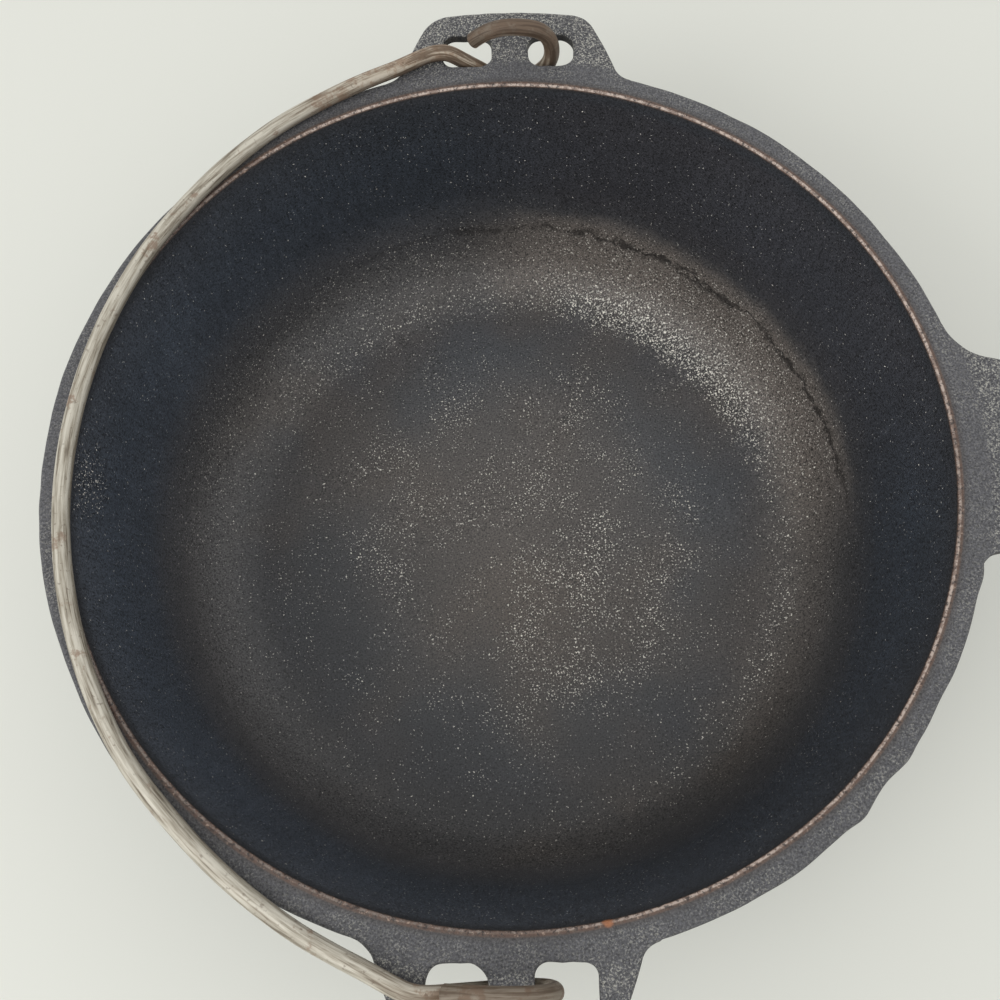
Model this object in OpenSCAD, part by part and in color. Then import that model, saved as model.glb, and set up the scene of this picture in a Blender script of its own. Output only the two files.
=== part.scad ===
// Cast-iron dutch oven with a wire bail, standing open without its lid.
// The pot stands on z = 0 and its axis is the Z axis. The two ears that hold the bail are
// on the Y axis, and the solid helper lug points along +X. The bail is drawn lying on the
// rim's -X side and swings about an axis parallel to Y, through the webs of both ears.

/* [Pot] */
// Inside radius at the top of the rim
rim_inside_r = 130; // [115:1:145]
// Height from the table to the top of the rim
pot_h = 95; // [80:1:115]
// Thickness of the floor
floor_t = 5; // [3:0.5:8]
// Thickness of the wall
wall_t = 4.6; // [3.5:0.1:6]
// Lean of the wall from upright, in degrees
wall_lean = 11.6; // [6:0.2:15]
// Radius of the inside curve between the floor and the wall
cove_r = 25; // [15:1:35]

/* [Rim flange] */
// Width of the flat flange, from the inside edge outwards
flange_w = 7.9; // [7:0.1:11]
// Thickness of the flange
flange_t = 4.8; // [4.4:0.1:7]
// Rounding of the flange's outer edges
flange_edge_r = 1.2; // [0.5:0.1:2]
// Rounding of the inside edge, where a lid wears it
rim_edge_r = 0.8; // [0.3:0.1:1.5]
// Radius of the fillet under the flange
under_fillet_r = 2.6; // [1:0.1:3]

/* [Ears] */
// How far an ear reaches beyond the flange
ear_reach = 22.2; // [20:0.1:26]
// Thickness of an ear
ear_t = 4.1; // [3:0.1:4.4]
// Width of an ear where its sides meet the flange
ear_root_w = 69.5; // [64:0.5:76]
// Lean of an ear's sides towards its tip, in degrees
ear_side_lean = 22; // [10:1:30]
// Radius of an ear's outer corners
ear_corner_r = 11; // [6:0.5:12]
// Radius of the fillets between an ear and the flange
ear_fillet_r = 8.5; // [5:0.5:12]
// Width of the web between an ear's two holes, which the bail's eye goes round
web_w = 12.2; // [9:0.2:14]
// Width of one hole, along the rim
hole_w = 15.8; // [14:0.2:17]
// Length of one hole, away from the pot
hole_l = 12.1; // [11:0.1:14]
// Radius of the holes' corners
hole_corner_r = 4.2; // [2:0.1:5]
// Metal left between the flange and the holes
hole_rim = 0.6; // [0.4:0.1:1.5]

/* [Helper lug] */
// How far the lug reaches beyond the flange
lug_reach = 27; // [18:0.5:34]
// Thickness of the lug
lug_t = 4.1; // [3:0.1:4.4]
// Width of the lug where its sides meet the flange
lug_root_w = 61; // [50:0.5:70]
// Lean of the lug's sides towards its tip, in degrees
lug_side_lean = 12; // [5:1:25]
// Radius of the lug's outer corners
lug_corner_r = 12; // [8:0.5:18]
// Radius of the fillets between the lug and the flange
lug_fillet_r = 10; // [5:0.5:14]

/* [Bail] */
// Diameter of the bail's wire
wire_d = 5.2; // [4:0.1:6]
// How far inside the flange's outer edge the middle of the bow lies
bow_inset = 7.7; // [3:0.1:9]
// Height of the hinge axis above the rim
axle_lift = 1.2; // [0.6:0.1:2]
// Play between the inside of an eye and the corners of the web
eye_play = 1.9; // [1.7:0.1:2.5]
// How far the middle of an eye lies past the hinge axis, away from the bow
eye_shift = 2.2; // [0:0.1:2.2]
// Angle round the eye at which the wire's cut end stands
eye_end = 165; // [120:1:170]
// Bend radius where a leg turns down into its hole
dive_r = 5; // [3.5:0.1:6.5]
// Bend radius where the bow straightens over its ear
shoulder_r = 12; // [6:1:30]
// Gap between the wire and the pot's side of both holes, with the bail in the middle
wire_to_pot = 2.2; // [2:0.1:4]
// How far the loose bail has slid towards the near ear
bail_slide = 1.3; // [0:0.1:1.5]
// Gap between the wire and the hole's far end, where a leg turns down
dive_gap = 1; // [0.5:0.1:2]
// Gap between the lying bail and the rim
rest_gap = 0.3; // [0.2:0.05:0.5]

/* [Hidden] */

arc_steps = 10;
tip_steps = 16;
cove_steps = 16;
edge_steps = 5;
foot_step = 0.25;
collar_step = 0.06;
collar_l = 0.5;
iron_colour = [0.27, 0.27, 0.29];
inside_colour = [0.2, 0.2, 0.22];
wire_colour = [0.66, 0.64, 0.57];

flange_r = rim_inside_r + flange_w;
flange_bottom = pot_h - flange_t;
lean_sin = sin(wall_lean);
lean_cos = cos(wall_lean);
// Radius of the wall's outside, carried up to the top of the rim
rim_outside_r = rim_inside_r + wall_t / lean_cos;
outer_curve_r = cove_r + wall_t;

ear_tip_r = flange_r + ear_reach;
lug_tip_r = flange_r + lug_reach;
hole_near = flange_r + hole_rim;
hole_end = web_w / 2 + hole_w;

wire_r = wire_d / 2;
leg_z = pot_h + rest_gap + wire_r;
axle_z = pot_h + axle_lift;
eye_r = norm([web_w / 2, ear_t + axle_lift]) + eye_play + wire_r;
eye_y = hole_near + wire_to_pot + wire_r;
// Point where a leg starts to turn down
dive_x = -(hole_end - dive_gap);
// The bow is one arc through its middle and tangent to both shoulders
bow_mid = flange_r - bow_inset;
bow_k = dive_x + bow_mid - shoulder_r;
bow_q = (pow(eye_y - shoulder_r, 2) + pow(bow_k, 2)) / (2 * bow_k);
bow_r = bow_q + shoulder_r;
bow_x = bow_r - bow_mid;
// Direction of the wire, from the X axis, where the bow meets its shoulder
shoulder_a = asin((bow_x - dive_x) / bow_q);
// The straight stretch from the bend down to the eye touches both of their circles
dive_centre = [dive_x, leg_z - dive_r];
eye_centre = [eye_shift, axle_z];
dive_span = norm(eye_centre - dive_centre);
dive_rise = asin((eye_centre[1] - dive_centre[1]) / dive_span);
dive_a = asin((dive_r + eye_r) / dive_span) - dive_rise;
dive_len = sqrt(pow(dive_span, 2) - pow(dive_r + eye_r, 2));

function polar(r, a) = [r * cos(a), r * sin(a)];
// Points along an arc, both ends included
function arc(centre, r, from, to, steps) =
    [for (i = [0 : steps]) centre + polar(r, from + (to - from) * i / steps)];
function flipped(points) = [for (i = [len(points) - 1 : -1 : 0]) [-points[i][0], points[i][1]]];
// Middle of a curve of radius r that touches the level bottom and the leaning side
function curve_x(edge_r, bottom, r) =
    edge_r - (r + (pot_h - bottom - r) * lean_sin) / lean_cos;

// The lean of the wall carries a side that has radius edge_r at the rim to this at height z
function side_r(edge_r, z) = edge_r - (pot_h - z) * lean_sin / lean_cos;
// Points from the level bottom, round the curve, up to the leaning side
function bowl_curve(edge_r, bottom, r) =
    arc([curve_x(edge_r, bottom, r), bottom + r], r, -90, -wall_lean, cove_steps);
function reversed(points) = [for (i = [len(points) - 1 : -1 : 0]) points[i]];
inside_curve = bowl_curve(rim_inside_r, floor_t, cove_r);
outside_curve = bowl_curve(rim_outside_r, 0, outer_curve_r);

// Level floor, out to where the curve starts
module pot_floor() {
    color(inside_colour) rotate_extrude($fn = 180)
        polygon([[0, 0], outside_curve[0], inside_curve[0], [0, floor_t]]);
}

// Curved corner all round the floor, up to where the wall is straight
module pot_corner() {
    color(inside_colour) rotate_extrude($fn = 180)
        polygon(concat(outside_curve, reversed(inside_curve)));
}

// Leaning wall, with a fillet that touches its outside and the flange's underside
module pot_wall() {
    fillet_x = side_r(rim_outside_r, flange_bottom) + under_fillet_r * lean_cos / (1 + lean_sin);
    fillet = [fillet_x, flange_bottom - under_fillet_r];
    color(inside_colour) rotate_extrude($fn = 180) polygon(concat(
        [inside_curve[cove_steps], outside_curve[cove_steps]],
        arc(fillet, under_fillet_r, 180 - wall_lean, 90, edge_steps),
        [[side_r(rim_inside_r, flange_bottom), flange_bottom]]
    ));
}

// Section of the flange: level top and bottom, with rounded edges
module flange_half() {
    outer_x = flange_r - flange_edge_r;
    inner_x = rim_inside_r + rim_edge_r;
    polygon(concat(
        [[side_r(rim_inside_r, flange_bottom), flange_bottom]],
        arc([outer_x, flange_bottom + flange_edge_r], flange_edge_r, -90, 0, edge_steps),
        arc([outer_x, pot_h - flange_edge_r], flange_edge_r, 0, 90, edge_steps),
        arc([inner_x, pot_h - rim_edge_r], rim_edge_r, 90, 180 - wall_lean, edge_steps)
    ));
}

module rim_flange() {
    color(iron_colour) rotate_extrude($fn = 180) flange_half();
}

// Plan of a plate that points along +Y: sides leaning in, rounded corners and a tip that
// follows a circle about the pot's axis, with fillets that run out along the flange
module plate_plan(tip_r, root_w, side_lean, corner_r, fillet_r) {
    side_out = [cos(side_lean), sin(side_lean)];
    side_along = [-sin(side_lean), cos(side_lean)];
    side_far = root_w / 2 * side_out[0] + flange_r * side_out[1];
    foot_r = flange_r + foot_step;
    corner_up = sqrt(pow(tip_r - corner_r, 2) - pow(side_far - corner_r, 2));
    fillet_up = sqrt(pow(foot_r + fillet_r, 2) - pow(side_far + fillet_r, 2));
    corner = (side_far - corner_r) * side_out + corner_up * side_along;
    fillet = (side_far + fillet_r) * side_out + fillet_up * side_along;
    corner_a = atan2(corner[1], corner[0]);
    fillet_a = atan2(fillet[1], fillet[0]);
    right = concat(
        arc(fillet, fillet_r, fillet_a - 180, side_lean - 180, arc_steps),
        arc(corner, corner_r, side_lean, corner_a, arc_steps),
        arc([0, 0], tip_r, corner_a, 90, tip_steps)
    );
    foot = polar(flange_r - 2 * foot_step, fillet_a);
    difference() {
        polygon(concat([foot], right, flipped(right), [[-foot[0], foot[1]]]));
        circle(r = flange_r, $fn = 360);
    }
}

// One hole of an ear, on its +X side, with rounded corners
module hole_plan() {
    low = [web_w / 2, hole_near];
    size = [hole_w, hole_l];
    c = hole_corner_r;
    translate(low) union() {
        translate([c, 0]) square([size[0] - 2 * c, size[1]]);
        translate([0, c]) square([size[0], size[1] - 2 * c]);
        for (x = [c, size[0] - c], y = [c, size[1] - c]) translate([x, y]) circle(r = c, $fn = 64);
    }
}

// Ear that points along +Y, level with the top of the flange
module ear() {
    translate([0, 0, pot_h - ear_t]) linear_extrude(ear_t) difference() {
        plate_plan(ear_tip_r, ear_root_w, ear_side_lean, ear_corner_r, ear_fillet_r);
        hole_plan();
        mirror([1, 0]) hole_plan();
    }
}

module far_ear() {
    color(iron_colour) ear();
}

module near_ear() {
    color(iron_colour) mirror([0, 1, 0]) ear();
}

module helper_lug() {
    color(iron_colour) rotate([0, 0, -90]) translate([0, 0, pot_h - lug_t]) linear_extrude(lug_t)
        plate_plan(lug_tip_r, lug_root_w, lug_side_lean, lug_corner_r, lug_fillet_r);
}

// Wire bent on a circle of radius r about the Z axis, between two angles
module wire_arc(r, from, to) {
    rotate([0, 0, from]) rotate_extrude(angle = to - from, $fn = 360)
        translate([r, 0]) circle(r = wire_r, $fn = 32);
}

// Collar over the place where a bend of radius r meets the next length of wire. It is a hair
// thicker than the wire and makes it one solid.
module collar(r, angle) {
    rotate([0, 0, angle]) translate([r, 0, 0]) rotate([90, 0, 0])
        cylinder(r = wire_r + collar_step, h = collar_l, center = true, $fn = 32);
}

// From the end of the bow: shoulder, bend down, straight stretch and eye of the far side
module bail_end() {
    shoulder = [bow_x, 0] + bow_q * polar(1, 90 + shoulder_a);
    bend_out = dive_centre + polar(dive_r, 90 - dive_a);
    translate([shoulder[0], shoulder[1], leg_z]) {
        wire_arc(shoulder_r, 90, 90 + shoulder_a);
        collar(shoulder_r, 90 + shoulder_a);
    }
    translate([0, eye_y, 0]) rotate([90, 0, 0]) {
        translate(dive_centre) {
            wire_arc(dive_r, 90 - dive_a, 90);
            collar(dive_r, 90);
            collar(dive_r, 90 - dive_a);
        }
        translate(bend_out) rotate([0, 90, -dive_a]) cylinder(r = wire_r, h = dive_len, $fn = 32);
        translate(eye_centre) {
            wire_arc(eye_r, -90 - dive_a, eye_end);
            collar(eye_r, -90 - dive_a);
        }
    }
}

module bail() {
    color(wire_colour) translate([0, -bail_slide, 0]) union() {
        translate([bow_x, 0, leg_z]) wire_arc(bow_r, 90 + shoulder_a, 270 - shoulder_a);
        bail_end();
        mirror([0, 1, 0]) bail_end();
    }
}

pot_floor();
pot_corner();
pot_wall();
rim_flange();
far_ear();
near_ear();
helper_lug();
bail();
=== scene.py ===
"""Looks of an old cast-iron dutch oven with a wire bail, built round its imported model.

The pot stands on z = 0 with its axis on Z. Its two pierced ears are on the Y axis, its solid
helper lug points along +X, and the bail lies on the -X side of the rim. Shapes are worked out
in millimetres and turned into metres when they become meshes.
"""

import math

import bpy
import numpy as np
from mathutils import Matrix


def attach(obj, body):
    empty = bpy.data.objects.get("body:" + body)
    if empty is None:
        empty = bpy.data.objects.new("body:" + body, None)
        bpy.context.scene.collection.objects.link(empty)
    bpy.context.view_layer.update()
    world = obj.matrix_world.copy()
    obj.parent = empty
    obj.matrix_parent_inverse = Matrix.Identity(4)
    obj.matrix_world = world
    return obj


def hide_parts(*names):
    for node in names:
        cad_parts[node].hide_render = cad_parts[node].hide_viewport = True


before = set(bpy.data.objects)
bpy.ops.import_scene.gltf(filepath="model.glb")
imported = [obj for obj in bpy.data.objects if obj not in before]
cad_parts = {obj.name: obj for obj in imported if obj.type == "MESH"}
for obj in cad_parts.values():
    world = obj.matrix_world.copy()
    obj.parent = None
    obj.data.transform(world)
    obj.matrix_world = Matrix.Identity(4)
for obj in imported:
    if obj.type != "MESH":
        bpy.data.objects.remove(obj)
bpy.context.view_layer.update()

MM = 0.001
scene = bpy.context.scene


def photograph_camera():
    """Camera of the photograph: above the near ear, looking down and a little away."""
    lens = bpy.data.cameras.new("photograph_camera")
    lens.sensor_width = 36.0
    lens.lens = 39.8
    lens.clip_start = 0.01
    camera = bpy.data.objects.new("photograph_camera", lens)
    camera.location = (0.00662, -0.11293, 0.39856)
    camera.rotation_euler = (math.radians(18.10), math.radians(1.62), 0.0)
    scene.collection.objects.link(camera)
    scene.camera = camera
    scene.view_settings.view_transform = "Standard"


photograph_camera()

# Sizes of the casting, in millimetres and degrees
RIM_R = 130.0
RIM_TOP = 95.0
FLOOR_T = 5.0
WALL_T = 4.6
WALL_LEAN = math.radians(11.6)
COVE_R = 25.0
FLANGE_R = 137.9
FLANGE_BOTTOM = 90.2
PLATE_BOTTOM = 90.9
FILLET_R = 2.6
INSIDE_EDGE_R = 1.0
OUTER_EDGE_R = 1.25
HOLE_EDGE_R = 0.9
JOINT_R = 135.8
LEAN_TAN = math.tan(WALL_LEAN)
RIM_OUTSIDE_R = RIM_R + WALL_T / math.cos(WALL_LEAN)
OUTSIDE_RUN = 400.0


def uneven(points, wavelength, seed):
    """Smooth unevenness of a casting, about -1 to 1: a sum of plane waves whose directions,
    lengths and phases are drawn at random from a fixed seed."""
    draw = np.random.default_rng(seed)
    count = 28
    ways = draw.normal(size=(3, count))
    ways /= np.linalg.norm(ways, axis=0)
    lengths = wavelength * draw.uniform(0.7, 1.7, count)
    phases = draw.uniform(0.0, 2.0 * np.pi, count)
    waves = np.cos(points @ (ways * 2.0 * np.pi / lengths) + phases)
    return waves.sum(axis=-1) / math.sqrt(2.0 * count)


def wave_round(angles, lowest, highest, seed):
    """Unevenness round a rim: a sum of whole waves, from lowest to highest per turn."""
    draw = np.random.default_rng(seed)
    counts = draw.integers(lowest, highest, 14)
    phases = draw.uniform(0.0, 2.0 * np.pi, 14)
    return np.cos(angles[:, None] * counts + phases).sum(axis=1) / 5.3


def smooth_step(value, low, high):
    """Rises from 0 at low to 1 at high, level at both ends."""
    t = np.clip((value - low) / (high - low), 0.0, 1.0)
    return t * t * (3.0 - 2.0 * t)


def arc(centre, radius, start, end, count):
    """Points on a circle: centre + radius * (cos a, sin a), a from start to end in radians."""
    a = np.linspace(start, end, count)
    return np.stack([centre[0] + radius * np.cos(a), centre[1] + radius * np.sin(a)], axis=1)


def line(start, end, count):
    """Evenly spaced points on a straight line."""
    return np.linspace(np.asarray(start, float), np.asarray(end, float), count)


def joined(*parts):
    """Lines and arcs one after another, without the point that two of them share."""
    kept = [parts[0]] + [part[1:] for part in parts[1:]]
    return np.concatenate(kept)


def grid_quads(rows, columns, close_rows, close_columns):
    """Corner numbers of the faces of a grid whose points are numbered row by row."""
    next_row = rows if close_rows else rows - 1
    next_column = columns if close_columns else columns - 1
    i, j = np.meshgrid(np.arange(next_row), np.arange(next_column), indexing="ij")
    i2, j2 = (i + 1) % rows, (j + 1) % columns
    corners = [i * columns + j, i * columns + j2, i2 * columns + j2, i2 * columns + j]
    return np.stack(corners, axis=-1)


def make_piece(name, points, faces, attributes, sharp_degrees):
    """Mesh object from arrays of points in millimetres and faces, smooth but for its edges."""
    mesh = bpy.data.meshes.new(name)
    mesh.from_pydata((points * MM).tolist(), [], faces)
    mesh.polygons.foreach_set("use_smooth", np.ones(len(mesh.polygons), bool))
    for label, values in attributes.items():
        layer = mesh.attributes.new(label, "FLOAT", "POINT")
        layer.data.foreach_set("value", values.astype(np.float32))
    mesh.set_sharp_from_angle(angle=math.radians(sharp_degrees))
    mesh.update()
    piece = bpy.data.objects.new(name, mesh)
    scene.collection.objects.link(piece)
    return piece


def run_along(profile):
    """Distance from the first point of a profile, measured along it."""
    steps = np.linalg.norm(np.diff(profile, axis=0), axis=1)
    return np.concatenate([[0.0], np.cumsum(steps)])


def side_r(edge_r, z):
    """Radius at height z of a leaning side that has radius edge_r at the rim."""
    return edge_r - (RIM_TOP - z) * LEAN_TAN


def bowl_profile():
    """Section of the pot below its flange, as radius and height, from the middle of the
    floor up the inside, across the joint with the rim, and down the outside to the base."""
    def curve_middle(edge_r, bottom, radius):
        drop = (RIM_TOP - bottom - radius) * math.sin(WALL_LEAN)
        return edge_r - (radius + drop) / math.cos(WALL_LEAN)

    inside_x = curve_middle(RIM_R, FLOOR_T, COVE_R)
    outer_curve_r = COVE_R + WALL_T
    outside_x = curve_middle(RIM_OUTSIDE_R, 0.0, outer_curve_r)
    fillet_x = JOINT_R
    quarter = math.pi / 2.0
    inside = joined(
        line((0.0, FLOOR_T), (inside_x, FLOOR_T), 30),
        arc((inside_x, FLOOR_T + COVE_R), COVE_R, -quarter, -WALL_LEAN, 22),
        line((side_r(RIM_R, 24.97), 24.97), (side_r(RIM_R, FLANGE_BOTTOM), FLANGE_BOTTOM), 30))
    outside = joined(
        line((side_r(RIM_R, FLANGE_BOTTOM), FLANGE_BOTTOM), (JOINT_R, FLANGE_BOTTOM), 3),
        arc((fillet_x, FLANGE_BOTTOM - FILLET_R), FILLET_R, quarter, math.pi - WALL_LEAN, 6),
        line((side_r(RIM_OUTSIDE_R, 86.0), 86.0), (side_r(RIM_OUTSIDE_R, 29.0), 29.0), 16),
        arc((outside_x, outer_curve_r), outer_curve_r, -WALL_LEAN, -quarter, 12),
        line((outside_x, 0.0), (0.0, 0.0), 8))
    return inside, outside


def pot_bowl():
    """Floor, corner and wall of the casting: its section turned about Z, with points pushed
    along the section's normal by an unevenness that fades out at the joint with the rim."""
    inside, outside = bowl_profile()
    profile = np.concatenate([inside, outside[1:]])
    columns = 600
    run = run_along(profile)
    run = np.where(np.arange(len(profile)) < len(inside), run, OUTSIDE_RUN)
    tangent = np.gradient(profile, axis=0)
    normal = np.stack([-tangent[:, 1], tangent[:, 0]], axis=1)
    normal /= np.linalg.norm(normal, axis=1)[:, None]
    turn = np.linspace(0.0, 2.0 * np.pi, columns, endpoint=False)
    middle = slice(1, -1)
    radius = profile[middle, 0][:, None] + 0.0 * turn
    height = profile[middle, 1][:, None] + 0.0 * turn
    plain = np.stack([radius * np.cos(turn), radius * np.sin(turn), height], axis=-1)
    from_joint = np.abs(FLANGE_BOTTOM - height)
    outer = (run[middle] >= OUTSIDE_RUN)[:, None]
    depth = np.where(outer, 0.22, 0.12) * smooth_step(from_joint, 0.0, 9.0)
    depth = depth * np.where(outer, smooth_step(height, 0.5, 6.0), 1.0)
    push = depth * (uneven(plain, 34.0, 11) + 0.5 * uneven(plain, 11.0, 12))
    radius = radius + normal[middle, 0][:, None] * push
    height = height + normal[middle, 1][:, None] * push
    shell = np.stack([radius * np.cos(turn), radius * np.sin(turn), height], axis=-1)
    rows = len(profile) - 2
    points = np.concatenate([[[0.0, 0.0, FLOOR_T]], shell.reshape(-1, 3), [[0.0, 0.0, 0.0]]])
    quads = grid_quads(rows, columns, False, True).reshape(-1, 4)[:, ::-1] + 1
    ring = np.arange(columns)
    following = (ring + 1) % columns
    first, last = ring + 1, ring + 1 + (rows - 1) * columns
    top_fan = np.stack([0 * ring, following + 1, first], axis=1)[:, ::-1]
    end = len(points) - 1
    low_fan = np.stack([following + 1 + (rows - 1) * columns, last, 0 * ring + end], axis=1)
    faces = quads.tolist() + top_fan.tolist() + low_fan.tolist()
    section_run = np.concatenate([run[:1], np.repeat(run[middle], columns), run[-1:]])
    attributes = {"section_run": section_run, "plate": np.zeros(len(points))}
    return make_piece("pot_bowl", points, faces, attributes, 50.0)


# Middle of each ear and of the lug round the rim, in degrees, and the way its own
# left-to-right axis turns. A plate's sides are: half width at the flange's edge, lean in
# degrees, corner radius, fillet radius; the side of positive angles comes first.
EAR_TURN = 0.2
FAR_EAR = {"middle": 90.0 - EAR_TURN, "way": 1.0, "tip": 160.0,
           "sides": ((35.0, 22.0, 10.0, 8.5), (34.4, 22.0, 11.0, 8.5))}
NEAR_EAR = {"middle": 270.0 + EAR_TURN, "way": -1.0, "tip": 160.0,
            "sides": ((33.4, 21.0, 11.0, 7.5), (34.6, 22.0, 11.0, 8.5))}
HELPER_LUG = {"middle": 0.0, "way": 1.0, "tip": 164.7,
              "sides": ((30.4, 12.0, 12.0, 7.0), (31.4, 13.0, 12.0, 17.0))}
# Holes of an ear: middle across and outwards, width, length and corner radius
FAR_HOLES = ((14.4, 144.15, 15.2, 12.5, 4.8), (-13.5, 144.2, 16.2, 12.5, 4.0))
NEAR_HOLES = ((14.5, 143.9, 16.4, 13.0, 3.8), (-13.6, 144.0, 16.0, 12.8, 5.2))
# Lumps and dents along the flange's edge: angle in degrees, height and half width
EDGE_LUMPS = ((-47.5, 0.9, 1.6), (-43.0, -0.7, 2.2), (-39.0, 0.5, 1.5), (-31.0, -0.5, 2.4),
              (-15.5, 0.7, 2.0), (-57.0, 0.4, 2.5), (31.0, -0.4, 4.0), (52.0, 0.3, 3.0),
              (137.0, -0.4, 5.0), (168.0, 0.25, 6.0), (205.0, -0.4, 6.0), (232.0, 0.3, 4.0))


def plate_side(plate, side):
    """Outline of one side of an ear or lug as angle from its middle and radius from the
    pot's axis: tip circle, rounded corner, leaning side and the fillet onto the flange."""
    half_width, lean, corner_r, fillet_r = plate["sides"][side]
    lean = math.radians(lean)
    out = np.array([math.cos(lean), math.sin(lean)])
    along = np.array([-math.sin(lean), math.cos(lean)])
    far = half_width * out[0] + FLANGE_R * out[1]
    corner_up = math.sqrt((plate["tip"] - corner_r) ** 2 - (far - corner_r) ** 2)
    fillet_up = math.sqrt((FLANGE_R + fillet_r) ** 2 - (far + fillet_r) ** 2)
    corner = (far - corner_r) * out + corner_up * along
    fillet = (far + fillet_r) * out + fillet_up * along
    corner_a = math.atan2(corner[1], corner[0])
    fillet_a = math.atan2(fillet[1], fillet[0])
    outline = joined(
        arc((0.0, 0.0), plate["tip"], math.pi / 2.0, corner_a, 12),
        arc(corner, corner_r, corner_a, lean, 16),
        arc(fillet, fillet_r, lean + math.pi, fillet_a + math.pi, 16))
    angle = np.degrees(np.arctan2(outline[:, 0], outline[:, 1]))
    return angle, np.hypot(outline[:, 0], outline[:, 1])


def plate_angle(plate, degrees):
    """Angle from a plate's middle, positive towards its first side, from -180 to 180."""
    return plate["way"] * ((plate["middle"] - degrees + 180.0) % 360.0 - 180.0)


def rim_outline(degrees):
    """Outer radius of the rim at each angle: the flange's circle with its waves and lumps,
    or the outline of an ear or the lug where that lies further out."""
    radians = np.radians(degrees)
    radius = FLANGE_R - 0.1 + 0.13 * wave_round(radians, 5, 23, 3)
    radius = radius + 0.07 * wave_round(radians, 30, 90, 4)
    lumps = np.array(EDGE_LUMPS)
    away = (degrees[:, None] - lumps[:, 0] + 180.0) % 360.0 - 180.0
    radius = radius + (lumps[:, 1] * np.exp(-((away / lumps[:, 2]) ** 2))).sum(axis=1)
    for plate in (FAR_EAR, NEAR_EAR, HELPER_LUG):
        off = plate_angle(plate, degrees)
        for side, sign in ((0, 1.0), (1, -1.0)):
            angle, reach = plate_side(plate, side)
            here = (off * sign >= 0.0) & (off * sign <= angle[-1])
            edge = np.interp(off * sign, angle, reach) + 0.1 * wave_round(radians, 60, 150, 8)
            edge = np.minimum(edge, plate["tip"])
            radius = np.where(here, np.maximum(radius, edge), radius)
    return radius


def rim_columns():
    """Angles of the rim's columns in degrees, closer together at the ears and the lug."""
    ear_half, lug_half, step = 19.5, 18.0, 0.25
    far, near = FAR_EAR["middle"], NEAR_EAR["middle"]
    edges = [-lug_half, lug_half, far - ear_half, far + ear_half, near - ear_half,
             near + ear_half, 360.0 - lug_half]
    parts = []
    for low, high in zip(edges[:-1], edges[1:]):
        fine = abs(high - low - 2.0 * ear_half) < 0.01 or low == -lug_half
        count = round((high - low) / (step if fine else 2.4 * step))
        parts.append(np.linspace(low, high, count, endpoint=False))
    return np.concatenate(parts)


TOP_ROWS = 22
CELL_FIRST, CELL_LAST = 3, TOP_ROWS - 2
CELL_DEGREES = 11.0
TOP_SHARES = np.concatenate([[0.0, 0.045, 0.09], np.linspace(0.135, 0.975, TOP_ROWS - 4), [1.0]])
UNDER_SHARES = np.concatenate([[0.0, 0.005, 0.01], np.linspace(0.02, 0.975, TOP_ROWS - 4), [1.0]])


def hole_reach(hole, directions, grown):
    """Distance from the middle of a rounded rectangle to its outline in each direction: to a
    straight side, or else to the circle of the nearest corner. Its outline is grown outwards
    by a margin all round."""
    half_w, half_l = hole[2] / 2.0 + grown, hole[3] / 2.0 + grown
    corner_r = hole[4] + grown
    c, s = np.abs(np.cos(directions)), np.abs(np.sin(directions))
    to_side = half_w / np.maximum(c, 1e-9)
    to_end = half_l / np.maximum(s, 1e-9)
    corner_x, corner_y = half_w - corner_r, half_l - corner_r
    ahead = corner_x * c + corner_y * s
    across = corner_x * s - corner_y * c
    to_corner = ahead + np.sqrt(np.maximum(corner_r ** 2 - across ** 2, 0.0))
    reach = np.where(to_side * s <= corner_y, to_side, to_corner)
    return np.where(to_end * c <= corner_x, to_end, reach)


def underside(radius):
    """Height of the rim's underside: the flange's, rising to that of the thinner plates."""
    return FLANGE_BOTTOM + (PLATE_BOTTOM - FLANGE_BOTTOM) * smooth_step(radius, 136.9, 139.4)


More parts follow.
